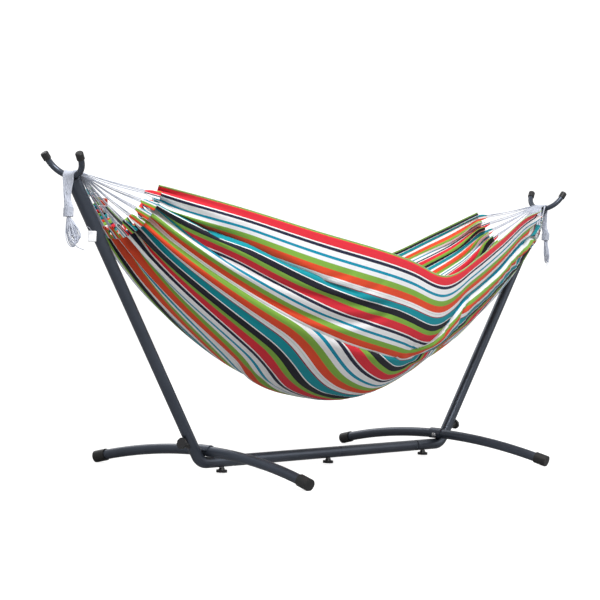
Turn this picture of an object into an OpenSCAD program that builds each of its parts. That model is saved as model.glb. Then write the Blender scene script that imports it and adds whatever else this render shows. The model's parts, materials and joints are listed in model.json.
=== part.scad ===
// Hammock on a steel stand: two arched feet, a two-piece centre beam, two bent
// uprights with sleeve hooks, hand knobs, and a woven hammock bed hung by
// strings. Millimetres, +Z up, +X along the hammock, origin on the floor at
// the centre.

/* [Stand] */
// Outer diameter of the beam and the uprights
main_d = 40; // [38:0.5:41]
// Wall of the beam and the uprights
main_wall = 1.5; // [1.2:0.1:2]
// Height of the beam's axis above the floor
beam_z = 43.5; // [42:0.5:46]
// Distance from the centre to where upright and beam axes meet
corner_x = 691; // [680:1:710]
// Lean of the uprights from the vertical, in degrees
lean = 34.6; // [33:0.1:36]
// Bend radius of the uprights
bend_r = 60; // [58:1:64]
// Half the length of the beam's visible tube
beam_half = 530; // [510:5:540]

/* [Feet] */
// Outer diameter of a foot tube
foot_d = 35; // [34:0.5:35]
// Distance from the centre to a foot's axis at the crossing
foot_x = 668.5; // [664:0.5:668.5]
// Height of a foot's axis at the crossing
foot_z = 83.2; // [83.2:0.1:86]
// Half the span of a foot, to its end face
foot_half = 490; // [460:5:520]
// Distance from the centre to a foot's end face
foot_end_x = 700; // [695:1:715]

/* [Hooks] */
// Distance along the upright from the corner to the sleeve's lower end
sleeve_s = 913; // [880:1:940]
// Distance along the upright from the corner to the hook rod's axis
hook_s = 1140; // [1130:1:1150]
// Radius of the hook's U, to the rod's axis
hook_r = 76; // [72:1:80]
// Diameter of the hook rod
hook_rod_d = 20; // [18:0.5:20]

/* [Hammock] */
// Half width of the bed at its middle
bed_w = 420; // [380:5:430]
// Height of the bed's long edges at the middle
bed_edge_z = 700; // [680:5:730]
// Height of the bed's lowest line above the floor
bed_low_z = 238; // [230:1:260]
// Number of tabs and string pairs at each end
tab_count = 14; // [14:1:14]
// Diameter of a string
string_d = 4; // [3:0.5:4]

/* [Hidden] */
$fn = 48;
SIDES = [["left", -1], ["right", 1]];
ENDS = [["front", -1], ["back", 1]];
BEAM_KNOBS = [["left", -1], ["centre", 0], ["right", 1]];

// Colours
STEEL = [0.16, 0.17, 0.19];
BLACK = [0.05, 0.05, 0.05];
ZINC = [0.7, 0.7, 0.72];
COTTON = [0.93, 0.93, 0.95];
CLOTH = [0.85, 0.35, 0.25];

// Tubes
main_r = main_d / 2;
bore_r = main_r - main_wall;      // inside of the beam and the uprights
spigot_r = bore_r - 0.25;         // reduced end that slides into the next tube
spigot_in = spigot_r - main_wall;
centre_lap = 50;                  // half the overlap at the middle of the beam
end_lap = 95;                     // how far the beam's ends reach into the uprights
swage = 12;                       // length over which a tube is reduced
seam = 1;                         // gap that shows where two tubes meet
turn = 90 - lean;
bend_leg = bend_r * tan(turn / 2);
bend_x = corner_x - bend_leg;

// Knobs under the beam
knob_x = 580;                     // distance of the outer beam knobs from the centre
knob_d = 38;
knob_disc = 9;
knob_lobes = 8;
hub_top_d = 17;
hub_foot_d = 24;
stud_d = 8;
stud_hole_r = 4.3;
nut_across = 13;
nut_h = 6.5;
washer_t = 1.2;
run_gap = 0.3;                    // air between a turning knob and the frame
tube_low_z = beam_z - main_r;
washer_top = tube_low_z - run_gap;
hub_top = washer_top - washer_t;
disc_top = hub_top - 8;
disc_low = disc_top - knob_disc;

// Bolt that clamps a foot: it slopes up towards its knob
bolt_tilt = 15;
bolt_hole_r = 4.4;
bolt_r = 4;
saddle_t = 3.5;
saddle_half = 26;
spacer_out = 109;
foot_knob_at = spacer_out + run_gap + 0.2;

// Feet
foot_r = foot_d / 2;
foot_wall = 1.5;
foot_cap_r = 21;
foot_cap_len = 48;
foot_end_z = 18.8;
foot_drop = norm([foot_end_x - foot_x, foot_z - foot_end_z]);
foot_tilt = atan2(foot_end_x - foot_x, foot_z - foot_end_z);
foot_arc_r = (foot_half * foot_half + foot_drop * foot_drop) / (2 * foot_drop);
foot_arc = asin(foot_half / foot_arc_r);
cap_floor = 3;                    // thickness of a rubber cap's end
cap_fit = 0.1;
arc_fn = 256;                     // facets of a foot's long arc, all the way round

// Hooks
sleeve_r = 22.5;
sleeve_in = main_r + 0.25;
sleeve_lap = 100;                 // length of upright inside the sleeve
sleeve_top = hook_s - 9;
sleeve_end = 5;                   // plate that closes the sleeve under the rod
rod_r = hook_rod_d / 2;
hook_arc = 80;                    // half the arc of the U, in degrees
prong = 20;                       // straight end of each prong
bond = 1;                         // how far a straight piece starts inside a curved one
hook_cap_r = 13;
hook_cap_len = 25;

// Hammock
bed_end_w = 155;
bed_end_x = [1105, 1150];         // at the edge and at the lowest line
bed_end_z = [955, 800];
bed_t = 6;
tab_len = 42;
tab_w = 22;
tab_t = 5;
tab_eye = 5;
strand = string_d;
strand_gap = 0.3;

// ---------- helpers ----------

// Runs along an upright's axis, with local +Z up the tube.
module on_upright(s)
    translate([corner_x + s * sin(lean), 0, beam_z + s * cos(lean)])
        rotate([0, lean, 0])
            children();

// The left side is the right side mirrored.
module side(s)
    if (s < 0) mirror([1, 0, 0]) children();
    else children();

module rod_x(x0, x1, r)
    translate([x0, 0, beam_z]) rotate([0, 90, 0]) cylinder(h = x1 - x0, r = r);

// Runs along the foot bolt's axis, with local +Z out towards the knob.
module on_bolt(d = 0)
    translate([foot_x, 0, foot_z])
        rotate([0, 90 - bolt_tilt, 0])
            translate([0, 0, d]) children();

// An arched foot's path: a piece of pipe between two angles of its arc.
module foot_arc_pipe(a0, a1, r)
    translate([foot_x, 0, foot_z])
        rotate([0, -foot_tilt, 0])
            translate([0, 0, -foot_arc_r])
                rotate([90, 0, 90])
                    rotate([0, 0, 90 + a0])
                        rotate_extrude(angle = a1 - a0, $fn = arc_fn)
                            translate([foot_arc_r, 0]) circle(r = r, $fn = 48);

// The U of a hook, in the upright's own frame.
module hook_shape(r) {
    translate([0, 0, hook_r])
        rotate([90, 0, 90])
            rotate([0, 0, -90 - hook_arc])
                rotate_extrude(angle = 2 * hook_arc, $fn = 96)
                    translate([hook_r, 0]) circle(r = r);
    for (e = [-1, 1])
        prong_frame(e) translate([0, 0, -bond]) cylinder(h = prong + bond, r = r - 0.05);
}

module prong_frame(e)
    translate([0, e * hook_r * sin(hook_arc), hook_r * (1 - cos(hook_arc))])
        rotate([-e * (90 - hook_arc), 0, 0])
            children();

// A round hand knob with finger lobes, hub towards +Z, disc from z = 0 down.
module knob_body(hub_h, bore_r, bore_h)
    difference() {
        union() {
            translate([0, 0, -knob_disc])
                difference() {
                    cylinder(h = knob_disc, d = knob_d);
                    for (i = [0 : knob_lobes - 1])
                        rotate([0, 0, i * 360 / knob_lobes])
                            translate([knob_d / 2 + 2.2, 0, -1])
                                cylinder(h = knob_disc + 2, r = 3.6);
                }
            cylinder(h = hub_h, d1 = hub_foot_d, d2 = hub_top_d);
        }
        translate([0, 0, hub_h - bore_h]) cylinder(h = bore_h + 1, r = bore_r);
    }

// ---------- stand ----------

// One half of the beam as a lathe profile: [length along X, outer radius].
module beam_profile(points, wall)
    translate([0, 0, beam_z]) rotate([0, 90, 0])
        rotate_extrude()
            polygon(concat(
                [for (p = points) [p[1], p[0]]],
                [for (i = [len(points) - 1 : -1 : 0]) [points[i][1] - wall, points[i][0]]]));

module stud_holes(xs)
    for (x = xs)
        translate([x, 0, tube_low_z - 2]) cylinder(h = main_r, r = stud_hole_r);

module beam_left()
    color(STEEL) difference() {
        beam_profile([
            [-beam_half - end_lap, spigot_r], [-beam_half - seam, spigot_r],
            [-beam_half + swage, main_r], [centre_lap, main_r]], main_wall);
        stud_holes([-knob_x, 0]);
    }

module beam_right()
    color(STEEL) difference() {
        beam_profile([
            [-centre_lap, spigot_r], [centre_lap + seam, spigot_r],
            [centre_lap + seam + swage, main_r], [beam_half - swage, main_r],
            [beam_half + seam, spigot_r], [beam_half + end_lap, spigot_r]], main_wall);
        stud_holes([0, knob_x]);
    }

module elbow_line(r, extra) {
    rod_x(beam_half - extra, bend_x, r);
    translate([bend_x, 0, beam_z + bend_r])
        rotate([90, 0, 0]) rotate([0, 0, -90])
            rotate_extrude(angle = turn, $fn = 96) translate([bend_r, 0]) circle(r = r);
    on_upright(bend_leg - 3)
        cylinder(h = sleeve_s + sleeve_lap - bend_leg + 3 + extra, r = r - 0.1);
}

module elbow(s)
    color(STEEL) side(s) difference() {
        elbow_line(main_r, 0);
        elbow_line(bore_r, 5);
        stud_holes([knob_x]);
        on_bolt(20) cylinder(h = 90, r = bolt_hole_r);
    }

module hook_sleeve(s)
    color(STEEL) side(s) difference() {
        on_upright(sleeve_s) cylinder(h = sleeve_top - sleeve_s, r = sleeve_r);
        on_upright(sleeve_s - 1) cylinder(h = sleeve_lap + 11, r = sleeve_in);
        on_upright(sleeve_s) cylinder(h = sleeve_top - sleeve_s - sleeve_end, r = sleeve_in - 1);
        on_upright(hook_s) hook_shape(rod_r + 0.1);
    }

module hook(s)
    color(STEEL) side(s) on_upright(hook_s) hook_shape(rod_r);

module hook_cap(s, e)
    color(BLACK) side(s) on_upright(hook_s) prong_frame(e)
        translate([0, 0, prong + cap_floor - hook_cap_len])
            difference() {
                union() {
                    cylinder(h = hook_cap_len - 3, r = hook_cap_r);
                    translate([0, 0, hook_cap_len - 3])
                        cylinder(h = 3, r1 = hook_cap_r, r2 = hook_cap_r - 2.5);
                }
                translate([0, 0, -1])
                    cylinder(h = hook_cap_len - cap_floor + 1 + cap_fit, r = rod_r + 0.25);
            }

module foot(s)
    color(STEEL) side(s) difference() {
        foot_arc_pipe(-foot_angle(), foot_angle(), foot_r);
        foot_arc_pipe(-foot_arc, foot_arc, foot_r - foot_wall);
        on_bolt(-40) cylinder(h = 80, r = bolt_hole_r);
    }

// Half the angle of the foot's steel, which stops inside its caps.
function foot_angle() = foot_arc - cap_floor / foot_arc_r * 180 / PI;
function cap_angle() = foot_cap_len / foot_arc_r * 180 / PI;

// Rubber cap with a small flat underneath where it stands on the floor.
module foot_cap(s, e)
    color(BLACK) side(s) difference() {
        if (e > 0) foot_arc_pipe(foot_arc - cap_angle(), foot_arc, foot_cap_r);
        else foot_arc_pipe(-foot_arc, cap_angle() - foot_arc, foot_cap_r);
        foot_arc_pipe(-foot_angle() - 0.003, foot_angle() + 0.003, foot_r + cap_fit);
        translate([foot_end_x - 60, -foot_half - 60, -20])
            cube([120, 2 * foot_half + 120, 20]);
    }

// Curved steel saddle that wraps over the foot and is clamped by the bolt.
module foot_saddle(s)
    color(STEEL) side(s) difference() {
        translate([foot_x, saddle_half, foot_z])
            rotate([90, 0, 0])
                rotate([0, 0, 10])
                    rotate_extrude(angle = 228)
                        translate([foot_r + 0.4, 0]) square([saddle_t, 2 * saddle_half]);
        on_bolt(-40) cylinder(h = 80, r = bolt_hole_r);
    }

module foot_bolt(s)
    color(ZINC) side(s) {
        on_bolt(-foot_r - saddle_t - 0.6) {
            cylinder(h = foot_knob_at + foot_r + saddle_t + 14, r = bolt_r);
            difference() {
                translate([0, 0, 6]) sphere(r = 11);
                translate([-15, -15, 0]) cube(30);
            }
        }
    }

module knob_spacer(s)
    color(BLACK) side(s) difference() {
        on_bolt(76) cylinder(h = spacer_out - 76, r = 10.5);
        on_upright(0) cylinder(h = 200, r = main_r + 0.15);
        on_bolt(70) cylinder(h = 60, r = bolt_hole_r);
    }

module foot_knob(s)
    color(BLACK) side(s)
        on_bolt(foot_knob_at + 8) mirror([0, 0, 1])
            knob_body(8, bolt_r + 0.05, 15);

module beam_knob(k)
    color(BLACK) translate([k * knob_x, 0, disc_top])
        knob_body(hub_top - disc_top, stud_d / 2, 14);

// Threaded stud moulded into the knob.
module beam_stud(k)
    color(ZINC) translate([k * knob_x, 0, hub_top - 14])
        cylinder(h = 14 + washer_t + main_r - spigot_in + nut_h + 8, d = stud_d);

module knob_washer(k)
    color(ZINC) translate([k * knob_x, 0, hub_top]) difference() {
        cylinder(h = washer_t, d = 18);
        translate([0, 0, -1]) cylinder(h = washer_t + 2, r = stud_d / 2);
    }

// Nut welded inside the reduced tube, shaped to its bore.
module weld_nut(k)
    color(ZINC) intersection() {
        translate([k * knob_x, 0, beam_z - spigot_in - 1]) difference() {
            cylinder(h = nut_h + 3, d = nut_across / cos(30), $fn = 6);
            translate([0, 0, -1]) cylinder(h = nut_h + 6, r = stud_d / 2 + 0.05);
        }
        rod_x(k * knob_x - 20, k * knob_x + 20, spigot_in - 0.05);
    }

// ---------- hammock ----------

// Bed: t runs from -1 to 1 along it, a from 0 to 180 degrees round it.
function mix(a, b, f) = a + (b - a) * f;
function peak(t) = (sqrt(t * t + 0.0144) - 0.12) / (sqrt(1.0144) - 0.12);
function half_w(t) = mix(bed_w, bed_end_w, t * t);
function edge_z(t) = mix(bed_edge_z, bed_end_z[0], peak(t));
function low_z(t) = mix(bed_low_z, bed_end_z[1], pow(abs(t), 1.85));
function bed_point(t, a, inset) = [
    t * mix(bed_end_x[0], bed_end_x[1], sin(a)),
    -(half_w(t) - inset) * cos(a),
    edge_z(t) - (edge_z(t) - low_z(t) - inset) * sin(a)];

bed_rings = 20;
bed_steps = 16;
ring_n = 2 * (bed_steps + 1);
function bed_ring(t) = concat(
    [for (j = [0 : bed_steps]) bed_point(t, j * 180 / bed_steps, 0)],
    [for (j = [bed_steps : -1 : 0]) bed_point(t, j * 180 / bed_steps, bed_t)]);
function ring_t(i) = -cos(i * 180 / bed_rings);

module bed()
    color(CLOTH) polyhedron(
        points = [for (i = [0 : bed_rings]) each bed_ring(ring_t(i))],
        faces = concat(
            [for (i = [0 : bed_rings - 1], j = [0 : ring_n - 1])
                each let (a = i * ring_n + j, b = i * ring_n + (j + 1) % ring_n)
                    [[a, b, b + ring_n], [a, b + ring_n, a + ring_n]]],
            [for (e = [0, bed_rings], j = [0 : bed_steps - 1])
                each let (o = e * ring_n, p = o + j, q = p + 1,
                          r = o + ring_n - 1 - j, s = r - 1)
                    e == 0 ? [[p, r, s], [p, s, q]] : [[p, s, r], [p, q, s]]]));

// Where a string leaves the wrap on the hook, for the right side.
rod_at = [corner_x + hook_s * sin(lean), 0, beam_z + hook_s * cos(lean)];
fan_angle = 6;                    // slope of the strands from the rod to the sleeve's rim
fan_run = 30;                     // straight stretch that carries them over the rim
string_gap = 7;                   // air between the wrap and the swinging strings
band_in = rod_r + 1.2;            // inner radius of the strands' bands over the rod
row_step = strand + strand_gap;
band_t = 2 * strand + strand_gap;
lane = 6.2;                       // spacing of the strands across the hook
band_w = 5;
lanes = tab_count / 2;
function lane_y(i) = (floor(i / 2) - (lanes - 1) / 2) * lane;
function lane_rise(y) = hook_r - sqrt(hook_r * hook_r - y * y);
function strand_centre(i) = rod_at
    + [lane_rise(lane_y(i)) * sin(lean), lane_y(i), lane_rise(lane_y(i)) * cos(lean)];
function row(i) = i < lanes - 1 ? 1 - i % 2 : i % 2;
function strand_r(i) = band_in + strand / 2 + row(i) * row_step;
function fan_dir() = [-cos(fan_angle), 0, -sin(fan_angle)];
function wrap_end(i) = strand_centre(i)
    + strand_r(i) * [-sin(fan_angle), 0, cos(fan_angle)] + fan_run * fan_dir();
function tab_angle(i) = 8 + i * 164 / (tab_count - 1);
function tab_root(i) = (bed_point(1, tab_angle(i), 0) + bed_point(1, tab_angle(i), bed_t)) / 2;
function unit(v) = v / norm(v);
function tab_dir(i) = unit(wrap_end(i) - tab_root(i));
function tab_wide(i) = unit(cross(cross(tab_dir(i),
    bed_point(1, tab_angle(i) + 1, 0) - bed_point(1, tab_angle(i) - 1, 0)), tab_dir(i)));

// Places children with X across the tab, Y through it and Z towards the hook.
module on_tab(i, d) {
    z = tab_dir(i);
    x = tab_wide(i);
    y = cross(z, x);
    o = tab_root(i) + d * z;
    multmatrix([[x[0], y[0], z[0], o[0]], [x[1], y[1], z[1], o[1]],
                [x[2], y[2], z[2], o[2]], [0, 0, 0, 1]]) children();
}

// Folded fabric loops sewn to the bed's end; a string runs through each eye.
module tabs(s)
    color(CLOTH) side(s) for (i = [0 : tab_count - 1]) on_tab(i, 5)
        difference() {
            union() {
                translate([-tab_w / 2, -tab_t / 2, 0]) cube([tab_w, tab_t, tab_len - tab_w / 2]);
                translate([0, tab_t / 2, tab_len - tab_w / 2])
                    rotate([90, 0, 0]) cylinder(h = tab_t, r = tab_w / 2);
            }
            translate([0, tab_t, tab_len - tab_w / 2])
                rotate([90, 0, 0]) cylinder(h = 2 * tab_t, r = tab_eye);
        }

// Straight strings from the tabs to the wrap on the hook.
module string_run(a, b, r) {
    d = b - a;
    translate(a)
        rotate([0, acos(d[2] / norm(d)), atan2(d[1], d[0])])
            cylinder(h = norm(d), r = r);
}

module strings(s)
    color(COTTON) side(s) for (i = [0 : tab_count - 1])
        string_run(tab_root(i) + (tab_len + 6) * tab_dir(i),
                   wrap_end(i) - string_gap * tab_dir(i), strand / 2);

// Strands lying over the hook's rod, as bands, down to the hank outside it.
drop_run = 13;
module band(h)
    translate([band_in + 0.1, -band_w / 2 + 0.1, -bond])
        cube([band_t - 0.2, band_w - 0.2, h + bond]);

module hook_wrap(s)
    color(COTTON) side(s) for (i = [0 : 2 : tab_count - 1]) translate(strand_centre(i)) {
        rotate([90, 0, 0]) rotate_extrude(angle = 90 + fan_angle)
            translate([band_in, -band_w / 2]) square([band_t, band_w]);
        rotate([0, -90 - fan_angle, 0]) band(fan_run);
        mirror([0, 0, 1]) band(drop_run);
    }

// The strands below the hook, bound together by the whipping.
hank_x = 1360;
hank_top = 966;
whip_top = 885;
whip_low = 852;
whip_y = -14;
loop_y = -26;
loop_low = 764;
module hank(s)
    color(COTTON) side(s) hull() {
        translate([hank_x - 6, -22, hank_top - 3]) cube([10, 44, 2]);
        translate([hank_x, whip_y, whip_top + 0.2]) cylinder(h = 1, r = 8, $fn = 24);
    }

module whipping(s)
    color(COTTON) side(s) translate([hank_x, whip_y, whip_low])
        cylinder(h = whip_top - whip_low, r = 11);

module end_loop(s)
    color(COTTON) side(s)
        translate([hank_x, (whip_y + loop_y) / 2, (whip_low + loop_low) / 2])
            rotate([0, 0, 50])
                rotate([90, 0, 0])
                    translate([0, 0, -7])
                        linear_extrude(14) difference() {
                            hull() {
                                translate([0, 22]) circle(r = 20);
                                translate([0, -12]) circle(r = 31);
                            }
                            hull() {
                                translate([0, 16]) circle(r = 8);
                                translate([0, -12]) circle(r = 16);
                            }
                        }

// Small blank care tag on the left hank.
module tag()
    color(COTTON) side(-1) translate([hank_x - 60, loop_y - 34, 778])
        rotate([0, -12, 50]) cube([26, 1.2, 34]);

// ---------- drawing ----------

for (v = SIDES) {
    elbow(v[1]);
    hook_sleeve(v[1]);
    hook(v[1]);
    foot(v[1]);
    foot_saddle(v[1]);
    foot_bolt(v[1]);
    knob_spacer(v[1]);
    foot_knob(v[1]);
    tabs(v[1]);
    strings(v[1]);
    hook_wrap(v[1]);
    hank(v[1]);
    whipping(v[1]);
    end_loop(v[1]);
    for (e = ENDS) {
        hook_cap(v[1], e[1]);
        foot_cap(v[1], e[1]);
    }
}
for (k = BEAM_KNOBS) {
    beam_knob(k[1]);
    beam_stud(k[1]);
    knob_washer(k[1]);
    weld_nut(k[1]);
}
beam_left();
beam_right();
bed();
tag();
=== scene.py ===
# %% [markdown]
# Hammock on a stand
# ==================
# A striped hammock hangs by white strings between the two U hooks of a bent
# steel stand. The frame comes packed from CAD, exact and finished in shape;
# this lesson gives it its surfaces, and models everything soft: the cloth,
# its folded tabs, the strings, the hanks below the hooks and the blank tag.
# Every length is in metres, +X runs along the hammock and +Z is up.

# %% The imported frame
import math
from functools import lru_cache

import bmesh
import bpy
import json
from mathutils import Matrix, Vector

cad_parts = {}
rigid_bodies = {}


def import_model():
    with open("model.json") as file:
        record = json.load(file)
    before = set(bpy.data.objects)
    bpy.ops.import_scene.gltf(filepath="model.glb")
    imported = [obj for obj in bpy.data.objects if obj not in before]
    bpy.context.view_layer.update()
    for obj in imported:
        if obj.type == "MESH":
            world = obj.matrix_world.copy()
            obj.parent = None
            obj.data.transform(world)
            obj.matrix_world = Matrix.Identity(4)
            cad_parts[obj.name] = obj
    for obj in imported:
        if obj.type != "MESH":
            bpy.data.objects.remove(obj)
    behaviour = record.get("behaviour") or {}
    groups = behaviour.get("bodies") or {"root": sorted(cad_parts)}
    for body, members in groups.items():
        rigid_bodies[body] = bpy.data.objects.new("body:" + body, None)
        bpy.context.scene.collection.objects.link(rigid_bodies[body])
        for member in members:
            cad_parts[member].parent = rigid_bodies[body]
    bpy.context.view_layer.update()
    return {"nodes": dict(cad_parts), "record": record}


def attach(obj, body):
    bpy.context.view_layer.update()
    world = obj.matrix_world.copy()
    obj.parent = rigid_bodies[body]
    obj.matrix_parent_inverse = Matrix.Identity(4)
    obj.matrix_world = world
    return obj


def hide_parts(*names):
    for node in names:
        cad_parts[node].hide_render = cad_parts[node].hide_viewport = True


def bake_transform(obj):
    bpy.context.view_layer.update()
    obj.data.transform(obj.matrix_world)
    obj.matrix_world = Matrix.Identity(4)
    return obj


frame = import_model()

# %% [markdown]
# The camera stands at the left front, hardly higher than the hammock's bed,
# and a long way off, so the stand is drawn nearly without perspective. Its
# place is worked out from one aim point, two angles and a distance. It then
# slides a little aside and up, and turns a little about its line of sight.

# %% Camera
AZIMUTH, ELEVATION, ROLL = map(math.radians, (39.7, 1.48, 2.23))
CAMERA_AWAY, LENS, SENSOR = 7.495, 123.6, 36
AIM = Vector((0, 0, 0.469))
SLIDE_ACROSS, SLIDE_UP = 0.120, 0.130

ahead = Vector((math.cos(ELEVATION) * math.cos(AZIMUTH),
                math.cos(ELEVATION) * math.sin(AZIMUTH), -math.sin(ELEVATION)))
level = Vector((math.sin(AZIMUTH), -math.cos(AZIMUTH), 0))
upward = level.cross(ahead)
across = level * math.cos(ROLL) + upward * math.sin(ROLL)
tall = upward * math.cos(ROLL) - level * math.sin(ROLL)
camera_data = bpy.data.cameras.new("camera")
camera_data.lens, camera_data.sensor_width = LENS, SENSOR
camera = bpy.data.objects.new("camera", camera_data)
bpy.context.scene.collection.objects.link(camera)
camera_place = AIM - ahead * CAMERA_AWAY - across * SLIDE_ACROSS + tall * SLIDE_UP
camera.matrix_world = Matrix.Translation(camera_place) @ Matrix(
    (across, tall, -ahead)).transposed().to_4x4()
bpy.context.scene.camera = camera
bpy.context.scene.view_settings.view_transform = "Standard"
print("camera at", [round(c, 3) for c in camera_place])

# %% [markdown]
# A few helpers serve the whole lesson. `link` puts a new object in the scene,
# `mesh_piece` makes an object from a bmesh and lets the bmesh go, and
# `smooth_path` draws an even, rounded line through a few given points, which
# is how a cord lies. `rope` turns such lines into round cords, and `as_mesh`
# turns a curve into the mesh that it draws.

# %% Helpers for pieces
SIDES = (("left", -1), ("right", 1))


def link(piece):
    bpy.context.scene.collection.objects.link(piece)
    return piece


def mesh_piece(name, bm, smooth=True):
    mesh = bpy.data.meshes.new(name)
    bm.to_mesh(mesh)
    bm.free()
    for face in mesh.polygons:
        face.use_smooth = smooth
    return link(bpy.data.objects.new(name, mesh))


def smooth_path(points, step=0.004):
    knots = [Vector(p) for p in points]
    knots = [2 * knots[0] - knots[1]] + knots + [2 * knots[-1] - knots[-2]]
    line = []
    for a, b, c, d in zip(knots, knots[1:], knots[2:], knots[3:]):
        count = max(1, round((c - b).length / step))
        for i in range(count):
            t = i / count
            line.append(0.5 * (2 * b + (c - a) * t + (2 * a - 5 * b + 4 * c - d) * t * t
                               + (3 * b - a - 3 * c + d) * t ** 3))
    return line + [knots[-2]]


def rope(name, lines, diameter, sides=3):
    curve = bpy.data.curves.new(name, "CURVE")
    curve.dimensions = "3D"
    curve.bevel_depth, curve.bevel_resolution = diameter / 2, sides
    curve.use_fill_caps = True
    for line in lines:
        spline = curve.splines.new("POLY")
        spline.points.add(len(line) - 1)
        for point, place in zip(spline.points, line):
            point.co = (*place, 1)
        spline.use_smooth = True
    return link(bpy.data.objects.new(name, curve))


def as_mesh(piece):
    """Swaps a curve, or a mesh with modifiers, for its finished mesh."""
    graph = bpy.context.evaluated_depsgraph_get()
    mesh = bpy.data.meshes.new_from_object(piece.evaluated_get(graph))
    name = piece.name
    bpy.data.objects.remove(piece)
    mesh.name = name
    for face in mesh.polygons:
        face.use_smooth = True
    return link(bpy.data.objects.new(name, mesh))


def length_of(line):
    return sum((b - a).length for a, b in zip(line, line[1:]))


# %% [markdown]
# The bed, the tabs and the strings all hang from the same few curves, so these
# come next. `bed_point` gives a place on the hanging bed: `t` runs from the
# left end (-1) to the right end (1) and `a` runs from the near long edge
# (0 degrees) under the bed to the far edge (180 degrees). The strings leave
# each end from fourteen tabs and meet on the hook's rod.

# %% Curves of the hanging bed
CORNER_X, BEAM_Z, LEAN = 0.691, 0.0435, math.radians(34.6)
HOOK_AT, HOOK_R, ROD_R = 1.140, 0.076, 0.010
ROD = Vector((CORNER_X + HOOK_AT * math.sin(LEAN), 0, BEAM_Z + HOOK_AT * math.cos(LEAN)))
TABS, LANE = 14, 0.0032
TAB_ANGLES = [8 + k * 164 / (TABS - 1) for k in range(TABS)]


def mix(a, b, t):
    return a + (b - a) * t


def peak(t):
    return (math.sqrt(t * t + 0.0144) - 0.12) / (math.sqrt(1.0144) - 0.12)


def bed_point(t, a):
    c, s = math.cos(math.radians(a)), math.sin(math.radians(a))
    edge_z = mix(0.700, 0.955, peak(t))
    low_z = mix(0.238, 0.800, abs(t) ** 1.85)
    return Vector((t * mix(1.105, 1.150, s), -mix(0.420, 0.155, t * t) * c,
                   edge_z - (edge_z - low_z) * s))


def tab_frame(k):
    """Root of a tab at the right end, the way to the hook, and the way across."""
    root = bed_point(1, TAB_ANGLES[k])
    lane = Vector((0, (k - (TABS - 1) / 2) * LANE, 0.012))
    along = (ROD + lane - root).normalized()
    beside = bed_point(1, TAB_ANGLES[k] + 1) - bed_point(1, TAB_ANGLES[k] - 1)
    beside = (beside - along * beside.dot(along)).normalized()
    return root, along, beside


print("tab 0 root", [round(c, 3) for c in tab_frame(0)[0]])

# %% [markdown]
# Three strands run from each tab's eye to the hook, over its rod and down the
# outer side, where all forty-two are gathered. Each has its own line over the
# rod, in one of two layers, packed so closely that neighbours overlap.
# A string is nearly straight up to the point where it touches the rod, which
# is the tangent from the eye to a circle round the rod.

# %% Strings from the tabs, over the rod
STRING_D = 0.0031
EYE_AT, EYE_STEP = 0.036, 0.0046
HALF_LANE, LAYER = 0.0011, 0.0028
KNOT_R, GOLDEN_TURN = 0.0130, 2.39996
WHIP_X, WHIP_Y, WHIP_TOP, WHIP_LOW = 1.360, -0.014, 0.885, 0.852
HOOK_STEPS = 9
PER_TAB = 3
STRANDS = PER_TAB * TABS


def strand_lines(i):
    """Free run and hook run of one strand at the right end."""
    k, place = divmod(i, PER_TAB)
    aside, layer = place - 1, place % 2
    root, along, beside = tab_frame(k)
    eye = root + along * EYE_AT + beside * aside * EYE_STEP
    y = (k - (TABS - 1) / 2) * LANE + aside * HALF_LANE
    rise = HOOK_R - math.sqrt(HOOK_R ** 2 - y * y)
    cx, cz = ROD.x + rise * math.sin(LEAN), ROD.z + rise * math.cos(LEAN)
    r = ROD_R + STRING_D / 2 + 0.0004 + (LAYER if layer else 0)
    dx, dz = eye.x - cx, eye.z - cz
    top = math.atan2(dz, dx) % (2 * math.pi) - math.acos(r / math.hypot(dx, dz))
    touch = Vector((cx + r * math.cos(top), y, cz + r * math.sin(top)))
    rim = Vector((ROD.x - 0.0275, y * 1.05, ROD.z + 0.0085 + (LAYER if layer else 0)
                  - 0.012 * (abs(y) / 0.0225) ** 3))
    if (eye.lerp(touch, (rim.x - eye.x) / (touch.x - eye.x))).z < rim.z:
        touch = Vector((cx - r * 0.10, y, cz + r))
        top = math.pi / 2 + 0.10
        over = [rim, rim.lerp(touch, 0.5) + Vector((0, 0, 0.0006)), touch]
    else:
        over = [touch]
    slack = Vector((0, 0, -0.002 - 0.0035 * ((i * 7) % 5) / 4))
    free = smooth_path([eye, eye.lerp(over[0], 0.5) + slack, *over], 0.012)
    hook = [Vector((cx + r * math.cos(top * (1 - j / HOOK_STEPS)), y,
                    cz + r * math.sin(top * (1 - j / HOOK_STEPS)))) for j in range(HOOK_STEPS + 1)]
    spread = KNOT_R * math.sqrt((i + 0.5) / STRANDS)
    turn = i * GOLDEN_TURN
    knot = Vector((WHIP_X + spread * math.cos(turn), WHIP_Y + spread * math.sin(turn), 0))
    fall = [hook[-1] + Vector((0, 0, -0.014)),
            Vector((mix(hook[-1].x, knot.x, 0.45), mix(y, knot.y, 0.33), 0.938)),
            Vector((mix(hook[-1].x, knot.x, 0.8), mix(y, knot.y, 0.75), 0.906)),
            knot + Vector((0, 0, 0.884)), knot + Vector((0, 0, 0.853))]
    return free, hook + smooth_path([hook[-1], *fall], 0.010)[1:]


def to_side(line, s):
    return [Vector((s * p.x, p.y, p.z)) for p in line]


for side, s in SIDES:
    runs = [strand_lines(i) for i in range(STRANDS)]
    free = as_mesh(rope(f"string_fan_{side}", [to_side(a, s) for a, _ in runs], STRING_D, 2))
    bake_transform(free)
    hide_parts(f"strings_{side}")
    wrap = as_mesh(rope(f"hook_strands_{side}", [to_side(b, s) for _, b in runs], STRING_D, 2))
    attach(wrap, "stand")
    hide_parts(f"hook_wrap_{side}", f"hank_{side}")
    print(side, "strings", len(free.data.polygons), "faces")

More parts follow.
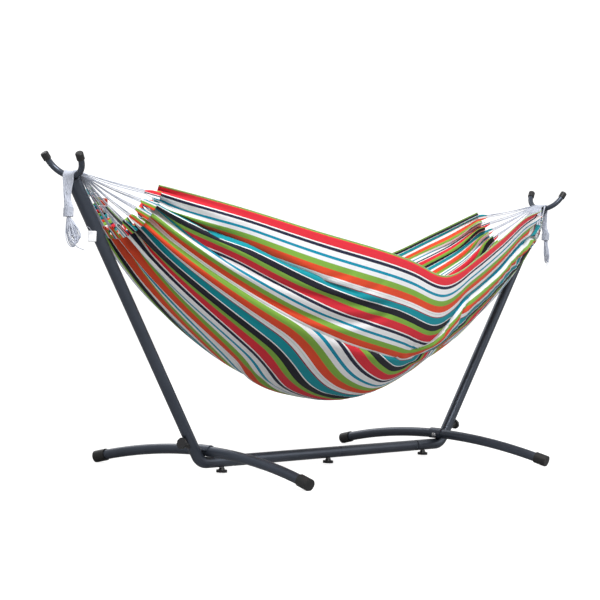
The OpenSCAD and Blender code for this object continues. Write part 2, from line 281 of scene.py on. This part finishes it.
# %% [markdown]
# Below the hook the strands are bound with a whipping, a cord wound tightly round them, and then
# hang on as a bunch of open loops. One end of the string stays loose. The loops and the loose end
# are free cords: they ride on the stand, because the hook holds them.

# %% Whippings, end loops and loose ends
LOOP_TURN = math.radians(50)
COIL_R, COIL_CORD, COIL_TURNS, TURN_STEPS = 0.0150, 0.0032, 9, 16
LOOPS, LOOP_STEPS = 14, 32
for side, s in SIDES:
    coil = []
    for j in range(COIL_TURNS * TURN_STEPS + 1):
        turn = j * math.tau / TURN_STEPS
        coil.append(Vector((WHIP_X + COIL_R * math.cos(turn), WHIP_Y + COIL_R * math.sin(turn),
                            mix(WHIP_LOW + 0.002, WHIP_TOP - 0.002,
                                j / (COIL_TURNS * TURN_STEPS)))))
    whip = as_mesh(rope(f"whipping_cord_{side}", [to_side(coil, s)], COIL_CORD, 2))
    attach(whip, "stand")
    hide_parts(f"whipping_{side}")
    loops = []
    for n in range(LOOPS):
        wide, deep = 0.006 + 0.0014 * n, 0.060 + 0.0028 * ((n * 5) % LOOPS)
        off = 0.0010 * ((n * 3) % LOOPS) - 0.0065
        lean = 0.010 + 0.0016 * ((n * 9) % LOOPS)
        line = []
        for j in range(LOOP_STEPS + 1):
            q = j / LOOP_STEPS * math.tau
            out = wide * math.sin(q) * (0.30 + 0.70 * (1 - math.cos(q)) / 2) + 0.003 * math.cos(q)
            down = (1 - math.cos(q)) / 2
            out -= lean * down
            line.append(Vector((
                WHIP_X + out * math.cos(LOOP_TURN) - off * math.sin(LOOP_TURN),
                WHIP_Y - 0.003 + out * math.sin(LOOP_TURN) + off * math.cos(LOOP_TURN),
                WHIP_LOW + 0.004 - deep * down)))
        line = to_side(line, s)
        loop = as_mesh(rope(f"end_loop_{side}_{n + 1}", [line], STRING_D, 2))
        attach(loop, "stand")
        round(length_of(line), 3)
        loops.append(loop)
    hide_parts(f"end_loop_{side}")
    tail = smooth_path([(WHIP_X - 0.004, WHIP_Y - 0.004, WHIP_LOW + 0.002),
                        (WHIP_X + 0.006, WHIP_Y - 0.012, 0.822),
                        (WHIP_X + 0.004, WHIP_Y - 0.020, 0.786),
                        (WHIP_X - 0.014, WHIP_Y - 0.028, 0.762),
                        (WHIP_X - 0.040, WHIP_Y - 0.036, 0.751)])
    tail = to_side(tail, s)
    loose = as_mesh(rope(f"loose_end_{side}", [tail], STRING_D, 2))
    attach(loose, "stand")
    round(length_of(tail), 3)
    print(side, len(loops), "loops, loose end", round(length_of(tail), 3), "m long")

# %% [markdown]
# A small blank tag of white ribbon hangs by a thread from the left hank. It
# starts as a flat grid, is bent a little as ribbon bends, and gets its
# thickness from a Solidify modifier.

# %% Tag
bm = bmesh.new()
bmesh.ops.create_grid(bm, x_segments=8, y_segments=10, size=0.5)
bmesh.ops.scale(bm, vec=(0.026, 0.034, 1), verts=bm.verts)
for vert in bm.verts:
    vert.co = Vector((vert.co.x, 0.0025 * math.sin(vert.co.y * 90), vert.co.y))
bmesh.ops.rotate(bm, verts=bm.verts, cent=(0, 0, 0),
                 matrix=Matrix.Rotation(math.radians(-50), 3, "Z"))
bmesh.ops.translate(bm, verts=bm.verts, vec=(-1.290, -0.052, 0.795))
tag = mesh_piece("ribbon_tag", bm)
wall = tag.modifiers.new("thickness", "SOLIDIFY")
wall.thickness = 0.0008
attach(tag, "stand")
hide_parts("tag")
thread = as_mesh(rope("tag_thread", [smooth_path(
    [(-1.352, -0.022, 0.850), (-1.335, -0.034, 0.832),
     (-1.306, -0.048, 0.824), (-1.292, -0.052, 0.811)])], 0.0012, 2))
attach(thread, "stand")

# %% [markdown]
# The bed is one sheet of woven cotton, about 1.45 m wide and 2.5 m long. It
# hangs as a deep bowl in the middle. Its near edge makes a wide V, its far
# edge hangs lower, and both ends are gathered into pleats, one between each
# pair of tabs. Four larger folds run from the left end into the bowl, and a
# fifth lies in the right half. `Fold` says where such a fold lies: it swallows
# the cloth on one side of a fixed crease, and the amount changes along the
# hammock.

# %% Shape of the hanging sheet
SHEET_W, SHEET_L = 1.45, 2.50
COLUMNS, ROWS = 160, 190
NEAR_EDGE = [(-1.105, 0.966), (-0.87, 0.915), (-0.54, 0.840), (-0.21, 0.778), (-0.08, 0.749),
             (0.04, 0.712), (0.12, 0.705), (0.21, 0.725), (0.32, 0.768), (0.54, 0.848),
             (0.80, 0.930), (1.105, 0.968)]
FAR_EDGE = [(-1.105, 0.955), (-0.80, 0.840), (-0.40, 0.710), (0.0, 0.655), (0.35, 0.668),
            (0.73, 0.775), (0.92, 0.862), (1.105, 0.955)]


def bump(x, centre, width):
    return math.exp(-((x - centre) / width) ** 2)


def ramp(x, low, high):
    x = min(1.0, max(0.0, (x - low) / (high - low)))
    return x * x * (3 - 2 * x)


def through(x, knots):
    """Height at x on a smooth line through the knots."""
    k = min(len(knots) - 2, max(0, sum(x >= a for a, _ in knots) - 1))
    (xa, a), (xb, b) = knots[k], knots[k + 1]
    slope_a = (b - knots[k - 1][1]) / (xb - knots[k - 1][0]) if k else (b - a) / (xb - xa)
    slope_b = ((knots[k + 2][1] - a) / (knots[k + 2][0] - xa) if k + 2 < len(knots)
               else (b - a) / (xb - xa))
    w, t = xb - xa, min(1.0, max(0.0, (x - xa) / (xb - xa)))
    return (a * (1 + 2 * t) * (1 - t) ** 2 + slope_a * w * t * (1 - t) ** 2
            + b * t * t * (3 - 2 * t) - slope_b * w * t * t * (1 - t))


class Fold:
    """A crease at u = crease that swallows cloth on the side given by `way`."""
    DEPTH = 0.9

    def __init__(self, crease, way, swallow, rise, fall):
        self.crease, self.way, self.swallow = crease, way, swallow
        self.rise, self.fall = rise, fall

    def half(self, t):
        return self.swallow * ramp(t, *self.rise) * (1 - ramp(t, *self.fall)) + 1e-6

    def place(self, u, t):
        h = self.half(t)
        return min(1.0, max(-1.0, (u - self.crease - self.way * h) / h)), h

    def hidden(self, u, t):
        """Cloth swallowed between the near edge and u."""
        x, h = self.place(u, t)
        return h * (x + 1 + math.sin(math.pi * x) / math.pi)

    def dent(self, u, t):
        x, h = self.place(u, t)
        return self.DEPTH * h * SHEET_W * math.cos(math.pi * x / 2) ** 2


CREASE, CREASE_ANGLE = 0.232, 41.0
TAKEN = 0.92
FOLDS = [
    Fold(0.1175, -1, 0.032, (-1.4, -1.2), (-1.00, 0.10)),
    Fold(0.187, -1, 0.028, (-1.4, -1.2), (-1.00, -0.68)),
    Fold(CREASE, 1, 0.062, (-1.5, -1.1), (-0.50, 0.14)),
    Fold(0.520, 1, 0.050, (-1.4, -1.0), (-0.40, 0.00)),
    Fold(0.208, -1, 0.056, (-0.02, 0.26), (0.86, 1.00)),
]


def hang(t, a):
    c, s = math.cos(math.radians(a)), math.sin(math.radians(a))
    x = t * mix(1.105, 1.150, s)
    edge_z = through(x, NEAR_EDGE if a < 90 else FAR_EDGE)
    low_z = mix(0.238, 0.800, abs(t) ** mix(1.55, 1.15, ramp(t, -0.3, 0.3)))
    return Vector((x, -mix(0.420, 0.155, t * t) * c, edge_z - (edge_z - low_z) * s))


@lru_cache(maxsize=None)
def cloth_left(u, t):
    """Share of the width, from the near edge to u, that the folds leave in sight."""
    return u - sum(TAKEN * f.hidden(u, t) for f in FOLDS)


@lru_cache(maxsize=None)
def angle_at(u, t):
    """Where the cloth at u hangs round the bed: on the left the main crease keeps its angle."""
    here, crease, far = cloth_left(u, t), cloth_left(CREASE, t), cloth_left(1, t)
    crease_angle = mix(CREASE_ANGLE, 180 * crease, ramp(t, -0.02, 0.26))
    if here < crease:
        return crease_angle * here / crease
    share = (here - crease) / (far - crease)
    share += 0.35 * bump(t, -0.25, 0.22) * math.sin(math.pi * share) / math.pi
    return crease_angle + (180 - crease_angle) * share


def sheet_point(u, t):
    """Where the sheet hangs before it settles; u is 0 at the near edge, 1 at the far one."""
    a = angle_at(u, t)
    base = hang(t, a)
    side_step = hang(t, min(180, a + 0.5)) - hang(t, max(0, a - 0.5))
    long_step = hang(min(1, t + 0.005), a) - hang(max(-1, t - 0.005), a)
    outward = side_step.cross(long_step).normalized()
    wave = (a - TAB_ANGLES[0]) / (TAB_ANGLES[1] - TAB_ANGLES[0])
    pocket = (1 - math.cos(math.tau * wave)) / 2
    inside = ramp(a, 0, 8) * ramp(180 - a, 0, 8)
    depth = 0.046 * abs(t) ** 6 + 0.004 * abs(t) ** 2
    place = base - outward * (depth * pocket * inside + sum(f.dent(u, t) for f in FOLDS))
    scallop = 0.022 * pocket * inside * ramp(abs(t), 0.90, 1)
    place.x -= math.copysign(scallop, t)
    return place


bm = bmesh.new()
bmesh.ops.create_grid(bm, x_segments=COLUMNS, y_segments=ROWS, size=0.5)
uv_layer = bm.loops.layers.uv.new("UVMap")
for face in bm.faces:
    for loop in face.loops:
        loop[uv_layer].uv = (loop.vert.co.x + 0.5, loop.vert.co.y + 0.5)
pins = {}
for vert in bm.verts:
    u, t = vert.co.x + 0.5, 2 * vert.co.y
    nearest = min(abs(angle_at(u, t) - a) for a in TAB_ANGLES)
    if abs(t) > 0.999 and nearest < 1.3:
        pins[vert.index] = 1.0
    else:
        hem = max(bump(u, 0, 0.03), bump(u, 1, 0.03))
        pins[vert.index] = 0.16 + 0.70 * hem + 0.14 * ramp(abs(t), 0.86, 1.0)
    vert.co = sheet_point(u, t)
bmesh.ops.recalc_face_normals(bm, faces=bm.faces)
sheet = mesh_piece("hammock_cloth", bm)
print("sheet", len(sheet.data.vertices), "points")

# %% [markdown]
# Cloth settles best in small steps. The points at the tabs are held fast, the
# long hems firmly, as their stitching makes them stiffer, and the rest lightly,
# which keeps the folds where they lie. When it has settled, the result is
# written into the mesh, so that no simulation is left on the piece.

# %% Let the cloth settle
def settle(piece, weights, frames):
    group = piece.vertex_groups.new(name="held")
    for index, weight in weights.items():
        group.add([index], weight, "REPLACE")
    cloth = piece.modifiers.new("cloth", "CLOTH")
    s = cloth.settings
    s.quality = 7
    s.mass = 0.25
    s.tension_stiffness = s.compression_stiffness = 25
    s.shear_stiffness = 8
    s.bending_stiffness = 0.6
    s.tension_damping = s.compression_damping = 12
    s.air_damping = 4
    s.vertex_group_mass = "held"
    s.pin_stiffness = 1.0
    cloth.collision_settings.use_collision = False
    for now in range(1, frames + 1):
        bpy.context.scene.frame_set(now)
    graph = bpy.context.evaluated_depsgraph_get()
    settled = bpy.data.meshes.new_from_object(piece.evaluated_get(graph))
    piece.modifiers.clear()
    piece.vertex_groups.clear()
    piece.data = settled
    bpy.context.scene.frame_set(1)


SETTLE_FRAMES = 16
settle(sheet, pins, SETTLE_FRAMES)
for face in sheet.data.polygons:
    face.use_smooth = True
low = min(v.co.z for v in sheet.data.vertices)
print("lowest point of the cloth", round(low, 3))

# %% [markdown]
# The long edges are rolled hems. Each hem is a slim round roll that follows
# the settled edge of the sheet, so the edge catches the light as a hem does.

# %% Hems along the long edges
def sheet_place(column, row):
    return sheet.data.vertices[row * (COLUMNS + 1) + column].co.copy()


HEM_D, CLOTH_THICK = 0.0034, 0.0012
for hem_name, column in (("near", 0), ("far", COLUMNS)):
    edge = [sheet_place(column, row) for row in range(ROWS + 1)]
    hem = as_mesh(rope(f"hem_{hem_name}", [edge], HEM_D, 2))
    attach(hem, "hammock")
    print(hem.name, round(length_of(edge), 3), "m long")

wall = sheet.modifiers.new("thickness", "SOLIDIFY")
wall.thickness, wall.offset = CLOTH_THICK, 0
sheet = as_mesh(sheet)
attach(sheet, "hammock")
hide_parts("bed")

# %% [markdown]
# Each tab is a strip of the same cloth, folded over a string and stitched
# down, so it reads as a flat loop with the string through its eye. The strip
# starts as one row of points along the loop, which is extruded to its width,
# drawn in a little where the string pulls, and then given its thickness.

# %% Folded tabs
TAB_WIDE, TAB_THICK, TAB_STRIPS = 0.024, 0.0016, 6
TAB_OUTLINE = [(-0.014, 0.0024), (0.004, 0.0022), (0.018, 0.0020), (0.028, 0.0030),
               (0.034, 0.0046), (0.0385, 0.0042), (0.0415, 0.0022), (0.0425, 0),
               (0.0415, -0.0022), (0.0385, -0.0042), (0.034, -0.0046), (0.028, -0.0030),
               (0.018, -0.0020), (0.004, -0.0022), (-0.014, -0.0024)]


def cloth_at(angle, t):
    """The u of the cloth that hangs at an angle, found by halving."""
    low, high = 0.0, 1.0
    while high - low > 0.0005:
        middle = (low + high) / 2
        low, high = (middle, high) if angle_at(middle, t) < angle else (low, middle)
    return low


for side, s in SIDES:
    bm = bmesh.new()
    uv = bm.loops.layers.uv.new("UVMap")
    for k in range(TABS):
        root, along, beside = tab_frame(k)
        facing = along.cross(beside)
        row = [bm.verts.new(root + along * d + facing * h - beside * TAB_WIDE / 2)
               for d, h in TAB_OUTLINE]
        edges = [bm.edges.new(pair) for pair in zip(row, row[1:])]
        strips = [row]
        for _ in range(TAB_STRIPS):
            made = bmesh.ops.extrude_edge_only(bm, edges=edges)["geom"]
            verts = [g for g in made if isinstance(g, bmesh.types.BMVert)]
            edges = [g for g in made if isinstance(g, bmesh.types.BMEdge)
                     and all(v in verts for v in g.verts)]
            bmesh.ops.translate(bm, verts=verts, vec=beside * TAB_WIDE / TAB_STRIPS)
            strips.append(verts)
        for verts in strips:
            for vert in verts:
                d = (vert.co - root).dot(along)
                w = (vert.co - root).dot(beside)
                pinch = 1 - 0.42 * ramp(d, 0.012, 0.042) + 0.30 * ramp(-d, -0.004, 0.014)
                dent = 0.004 * (w / (TAB_WIDE / 2)) ** 2 * ramp(d, 0.02, 0.042)
                vert.co += beside * w * (pinch - 1) - along * dent
        middle = cloth_at(TAB_ANGLES[k], s)
        for face in bm.faces:
            if face.tag:
                continue
            face.tag = True
            for loop in face.loops:
                w = (loop.vert.co - root).dot(beside) / TAB_WIDE
                d = (loop.vert.co - root).dot(along)
                loop[uv].uv = (middle + 0.045 * w, 0.5 + s * (0.5 + d / SHEET_L))
    if s < 0:
        bmesh.ops.scale(bm, vec=(-1, 1, 1), verts=bm.verts)
    bmesh.ops.recalc_face_normals(bm, faces=bm.faces)
    tabs = mesh_piece(f"folded_tabs_{side}", bm)
    wall = tabs.modifiers.new("thickness", "SOLIDIFY")
    wall.thickness = TAB_THICK
    round_off = tabs.modifiers.new("rounding", "SUBSURF")
    round_off.levels = round_off.render_levels = 1
    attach(tabs, "hammock")
    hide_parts(f"tabs_{side}")
    print(tabs.name, len(tabs.data.polygons), "faces before rounding")

# %% [markdown]
# Finishes are built from shader nodes. `Wire` wraps one socket so that shader
# maths reads as plain arithmetic, and `Finish` wraps one material: its `node`
# method adds any node with its settings and inputs. Only colour, roughness and
# bump change over a surface; a value that is the same all over sits on the
# shader's own socket.

# %% Shader helpers
class Wire:
    def __init__(self, tree, socket):
        self.tree, self.socket = tree, socket

    def maths(self, operation, *values):
        node = self.tree.nodes.new("ShaderNodeMath")
        node.operation = operation
        for slot, value in zip(node.inputs, values):
            if isinstance(value, Wire):
                self.tree.links.new(value.socket, slot)
            else:
                slot.default_value = value
        return Wire(self.tree, node.outputs[0])

    def __add__(self, other): return self.maths("ADD", self, other)
    def __radd__(self, other): return self.maths("ADD", other, self)
    def __sub__(self, other): return self.maths("SUBTRACT", self, other)
    def __rsub__(self, other): return self.maths("SUBTRACT", other, self)
    def __mul__(self, other): return self.maths("MULTIPLY", self, other)
    def __rmul__(self, other): return self.maths("MULTIPLY", other, self)
    def fract(self): return self.maths("FRACT", self)
    def sine(self): return self.maths("SINE", self)
    def clear(self): return self.maths("MAXIMUM", 0.0, self.maths("MINIMUM", 1.0, self))


class Finish:
    def __init__(self, name):
        self.material = bpy.data.materials.new(name)
        self.material.use_nodes = True
        self.tree = self.material.node_tree
        self.shader = self.tree.nodes["Principled BSDF"]

    def node(self, kind, settings=None, output=0, **inputs):
        node = self.tree.nodes.new(kind)
        for key, value in (settings or {}).items():
            if key == "stops":
                elements = node.color_ramp.elements
                while len(elements) < len(value):
                    elements.new(0.5)
                for element, (place, shade) in zip(elements, value):
                    element.position, element.color = place, shade
            elif key == "interpolation":
                node.color_ramp.interpolation = value
            else:
                setattr(node, key, value)
        for key, value in inputs.items():
            self.feed(node.inputs[key.replace("_", " ")], value)
        return Wire(self.tree, node.outputs[output])

    def feed(self, socket, value):
        if isinstance(value, Wire):
            self.tree.links.new(value.socket, socket)
        else:
            socket.default_value = value

    def surface(self, **inputs):
        for key, value in inputs.items():
            self.feed(self.shader.inputs[key.replace("_", " ")], value)
        return self

    def blend_colours(self, share, a, b):
        node = self.tree.nodes.new("ShaderNodeMix")
        node.data_type, node.blend_type = "RGBA", "MIX"
        self.feed(node.inputs[0], share)
        self.feed(node.inputs[6], a)
        self.feed(node.inputs[7], b)
        return Wire(self.tree, node.outputs[2])


def colour(red, green, blue):
    """A colour given as it looks, 0 to 255, turned into the linear one shaders use."""
    return tuple(((c / 255 + 0.055) / 1.055) ** 2.4 if c > 10 else c / 255 / 12.92
                 for c in (red, green, blue)) + (1.0,)


# %% [markdown]
# The steel is powder coated in charcoal. Powder coat is satin, never mirror
# smooth: it has a fine orange-peel bump about a millimetre across, and its
# tiny specks vary in tone and in roughness.

# %% Powder-coated steel
def powder_coat():
    f = Finish("charcoal_powder_coat")
    place = f.node("ShaderNodeTexCoord", output=3)
    specks = f.node("ShaderNodeTexNoise", Vector=place, Scale=900.0, Detail=2.0, Roughness=0.6)
    cloudy = f.node("ShaderNodeTexNoise", Vector=place, Scale=9.0, Detail=3.0)
    tone = (specks * 0.55 + cloudy * 0.45).clear()
    shade = f.blend_colours(tone, colour(50, 55, 64), colour(86, 93, 106))
    bump = f.node("ShaderNodeBump", Height=specks, Strength=0.35, Distance=0.0006)
    return f.surface(Base_Color=shade, Metallic=0.6, Roughness=specks * 0.16 + cloudy * 0.08 + 0.20,
                     Normal=bump).material


STEEL = powder_coat()

# %% [markdown]
# Caps are moulded rubber, knobs are moulded plastic with a fine spark-eroded
# grain, and the studs, bolts and washers are zinc plated. All three keep the
# same recipe: a little tone, a little roughness, a little bump.

# %% Rubber, plastic and zinc
def moulded(name, dark, light, rough, grain, strength):
    f = Finish(name)
    place = f.node("ShaderNodeTexCoord", output=3)
    fine = f.node("ShaderNodeTexNoise", Vector=place, Scale=grain, Detail=2.0)
    broad = f.node("ShaderNodeTexNoise", Vector=place, Scale=28.0, Detail=3.0)
    shade = f.blend_colours((fine * 0.4 + broad * 0.6).clear(), dark, light)
    bump = f.node("ShaderNodeBump", Height=fine, Strength=strength, Distance=0.0004)
    return f.surface(Base_Color=shade, Roughness=broad * 0.14 + rough, Normal=bump).material


RUBBER = moulded("black_rubber", colour(17, 17, 18), colour(34, 34, 36), 0.42, 1500.0, 0.25)
PLASTIC = moulded("black_moulded_plastic", colour(20, 20, 22), colour(38, 38, 41),
                  0.36, 2200.0, 0.3)


def zinc_plate():
    f = Finish("zinc_plate")
    place = f.node("ShaderNodeTexCoord", output=3)
    brushed = f.node("ShaderNodeTexNoise", Vector=place, Scale=420.0, Detail=3.0)
    cloud = f.node("ShaderNodeTexNoise", Vector=place, Scale=60.0, Detail=2.0)
    shade = f.blend_colours(cloud, colour(150, 151, 155), colour(196, 197, 200))
    bump = f.node("ShaderNodeBump", Height=brushed, Strength=0.2, Distance=0.0003)
    return f.surface(Base_Color=shade, Metallic=1.0, Roughness=brushed * 0.2 + 0.25,
                     Normal=bump).material


ZINC = zinc_plate()

# %% [markdown]
# The cord is soft white cotton, but the dark end of its colour is a blue-grey that is painted
# shade. Fine diagonal waves through the piece's own coordinates make the twist: they give the bump
# of its twisted strands and paint shade into the grooves between them.

# %% Cotton cord and ribbon
def twisted_cotton(name, dark, light):
    f = Finish(name)
    place = f.node("ShaderNodeTexCoord", output=3)
    fluff = f.node("ShaderNodeTexNoise", Vector=place, Scale=1400.0, Detail=3.0)
    soft = f.node("ShaderNodeTexNoise", Vector=place, Scale=90.0, Detail=2.0)
    lay = f.node("ShaderNodeTexWave", {"wave_type": "BANDS", "bands_direction": "DIAGONAL"},
                 Vector=place, Scale=210.0, Distortion=1.5)
    # Painted shade: the twist's grooves and the soft noise blend the colour towards the dark end.
    tone = (lay * 0.35 + soft * 0.45 + fluff * 0.25).clear()
    shade = f.blend_colours(tone, dark, light)
    bump = f.node("ShaderNodeBump", Height=lay * 0.7 + fluff * 0.5, Strength=0.6, Distance=0.0006)
    return f.surface(Base_Color=shade, Roughness=0.85, Normal=bump, Sheen_Weight=0.25).material


# The cord's blue-grey dark colour is painted shade on white cotton.
SHADED_COTTON = twisted_cotton("white_cotton_cord_painted_shade", colour(150, 158, 178), colour(226, 230, 240))
RIBBON = twisted_cotton("white_ribbon", colour(214, 216, 220), colour(246, 246, 248))

# %% [markdown]
# The stripes are woven in, so they run exactly along the sheet. The U of the
# sheet's UV map runs across it from the near edge, and one repeat is about
# 21 cm wide. A colour ramp with hard steps holds the repeat, from the broad
# coral band to the green one that closes it. Plain weave shows as tiny light
# and dark crossings, with a bump to match.

# %% Striped cotton
CORAL, ORANGE = colour(230, 46, 62), colour(238, 80, 44)
WHITE, CREAM = colour(250, 250, 252), colour(226, 226, 226)
NAVY, BLACKISH = colour(34, 38, 64), colour(28, 28, 40)
CYAN, TEAL = colour(0, 152, 184), colour(0, 150, 164)
# The second green is leaf green darkened as painted shade; it colours the far hem.
LEAF, LEAF_IN_PAINTED_SHADE = colour(136, 184, 70), colour(116, 150, 52)
GARNET = colour(150, 26, 50)
REPEAT = [
    (13.0, CORAL), (2.2, WHITE), (4.6, NAVY), (8.6, WHITE), (4.4, CYAN), (6.4, WHITE),
    (9.0, LEAF), (11.0, ORANGE), (2.4, WHITE), (1.2, CREAM), (4.2, WHITE), (1.4, GARNET),
    (12.0, TEAL), (1.4, WHITE), (10.0, BLACKISH), (8.2, LEAF),
]
REPEAT_WIDE, REPEAT_START = SHEET_W / 6.98, 0.980
YARN = 0.0016


def striped_cotton():
    f = Finish("striped_plain_weave")
    total = sum(width for width, _ in REPEAT)
    stops, at = [], 0.0
    for width, shade in REPEAT:
        stops.append((at / total, shade))
        at += width
    uv = f.node("ShaderNodeTexCoord", output=2)
    parts = f.tree.nodes.new("ShaderNodeSeparateXYZ")
    f.tree.links.new(uv.socket, parts.inputs[0])
    u, v = Wire(f.tree, parts.outputs[0]), Wire(f.tree, parts.outputs[1])
    stripe_at = (u * (SHEET_W / REPEAT_WIDE) + REPEAT_START).fract()
    stripes = f.node("ShaderNodeValToRGB", {"stops": stops, "interpolation": "CONSTANT"},
                     Fac=stripe_at)
    warp = (u * (SHEET_W / YARN * math.tau)).sine()
    weft = (v * (SHEET_L / YARN * math.tau)).sine()
    weave = warp * weft * 0.5 + 0.5
    place = f.node("ShaderNodeTexCoord", output=3)
    slub = f.node("ShaderNodeTexNoise", Vector=place, Scale=260.0, Detail=3.0)
    fade = f.node("ShaderNodeTexNoise", Vector=place, Scale=7.0, Detail=3.0)
    darker = f.blend_colours(0.88, colour(30, 30, 36), stripes)
    woven = f.blend_colours((weave * 0.25 + slub * 0.45 + fade * 0.50).clear(), darker, stripes)
    bump = f.node("ShaderNodeBump", Height=weave * 0.6 + slub * 0.7, Strength=0.35, Distance=0.0005)
    return f.surface(Base_Color=woven, Roughness=slub * 0.15 + 0.72, Normal=bump,
                     Specular_IOR_Level=0.25, Sheen_Weight=0.06).material


STRIPES = striped_cotton()


def hem_cotton(name, shade):
    f = Finish(name)
    place = f.node("ShaderNodeTexCoord", output=3)
    slub = f.node("ShaderNodeTexNoise", Vector=place, Scale=420.0, Detail=3.0)
    thread = f.node("ShaderNodeTexWave", {"wave_type": "BANDS", "bands_direction": "X"},
                    Vector=place, Scale=120.0, Distortion=0.6)
    darker = tuple(c * 0.72 for c in shade[:3]) + (1,)
    woven = f.blend_colours((slub * 0.6 + thread * 0.4).clear(), darker, shade)
    bump = f.node("ShaderNodeBump", Height=thread * 0.6 + slub * 0.5, Strength=0.4, Distance=0.0005)
    return f.surface(Base_Color=woven, Roughness=0.8, Normal=bump, Sheen_Weight=0.18).material


# The far hem is a green hem like the near one, coloured darker as painted shade.
HEMS = {"hem_near": hem_cotton("leaf_hem", colour(176, 204, 138)),
        "hem_far": hem_cotton("shaded_green_hem", LEAF_IN_PAINTED_SHADE)}


def dress(piece, material):
    piece.data.materials.clear()
    piece.data.materials.append(material)


# %% [markdown]
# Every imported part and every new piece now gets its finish. The record says
# which part is steel, rubber, plastic or zinc, so the same list serves here.

# %% Give every piece its finish
BY_SLOT = {"steel": STEEL, "rubber": RUBBER, "plastic": PLASTIC, "zinc": ZINC,
           "cloth": STRIPES, "cotton": SHADED_COTTON, "label": RIBBON}
for part in frame["record"]["subparts"]:
    node = frame["nodes"][part["node"]]
    for material_slot in node.material_slots:
        material_slot.material = BY_SLOT[part["material_slot"]]
for piece in bpy.context.scene.objects:
    if piece.type == "MESH" and piece.name not in frame["nodes"]:
        if piece.name in HEMS:
            dress(piece, HEMS[piece.name])
        elif piece.name.startswith(("hammock_cloth", "folded_tabs")):
            dress(piece, STRIPES)
        elif piece.name.startswith("ribbon_tag"):
            dress(piece, RIBBON)
        elif piece.name.startswith(("string_fan", "hook_strands", "whipping_cord", "end_loop",
                                    "loose_end", "tag_thread")):
            dress(piece, SHADED_COTTON)

# %% [markdown]
# The studio is plain: a pale floor, a pale surround and large soft lights, one
# high at the front left as the main light and weaker ones to fill the shadows.
# The surround lights the hammock more from above than from below. The camera
# alone sees both the floor and the surround as clean white.

# %% Floor, surround and lights
bm = bmesh.new()
bmesh.ops.create_grid(bm, x_segments=1, y_segments=1, size=30)
bmesh.ops.translate(bm, verts=bm.verts, vec=(0, 0, -0.0005))
floor = mesh_piece("studio_floor", bm, smooth=False)
pale = Finish("pale_floor")
seen = pale.node("ShaderNodeLightPath")
dress(floor, pale.surface(Base_Color=(0.34, 0.34, 0.34, 1), Roughness=0.9,
                          Emission_Color=(1, 1, 1, 1), Emission_Strength=seen * 0.84).material)

world = bpy.data.worlds.new("surround")
world.use_nodes = True
tree = world.node_tree
background = tree.nodes["Background"]
background.inputs["Color"].default_value = (1, 1, 1, 1)
up = Wire(tree, tree.nodes.new("ShaderNodeTexCoord").outputs["Generated"])
axes = tree.nodes.new("ShaderNodeSeparateXYZ")
tree.links.new(up.socket, axes.inputs[0])
sky = (Wire(tree, axes.outputs[2]) * 0.60 + 0.38).clear() * 0.85 + 0.04
seen = Wire(tree, tree.nodes.new("ShaderNodeLightPath").outputs["Is Camera Ray"])
light = sky + seen * (1.2 - sky)
tree.links.new(light.socket, background.inputs["Strength"])
bpy.context.scene.world = world


def soft_light(name, place, aim, size, power):
    data = bpy.data.lights.new(name, "AREA")
    data.shape, data.size, data.energy = "SQUARE", size, power
    lamp = link(bpy.data.objects.new(name, data))
    lamp.location = place
    lamp.rotation_euler = (Vector(aim) - Vector(place)).to_track_quat("-Z", "Y").to_euler()


soft_light("key", (-2.6, -3.0, 4.8), (0, 0, 0.6), 2.4, 300)
soft_light("fill", (3.8, -4.0, 2.6), (0, 0, 0.5), 3.0, 40)
soft_light("back", (1.5, 4.2, 3.8), (0, 0, 0.6), 3.0, 60)

# %% [markdown]
# Last, the view layer is brought up to date and the lesson ends.

# %% Finish
bpy.context.view_layer.update()
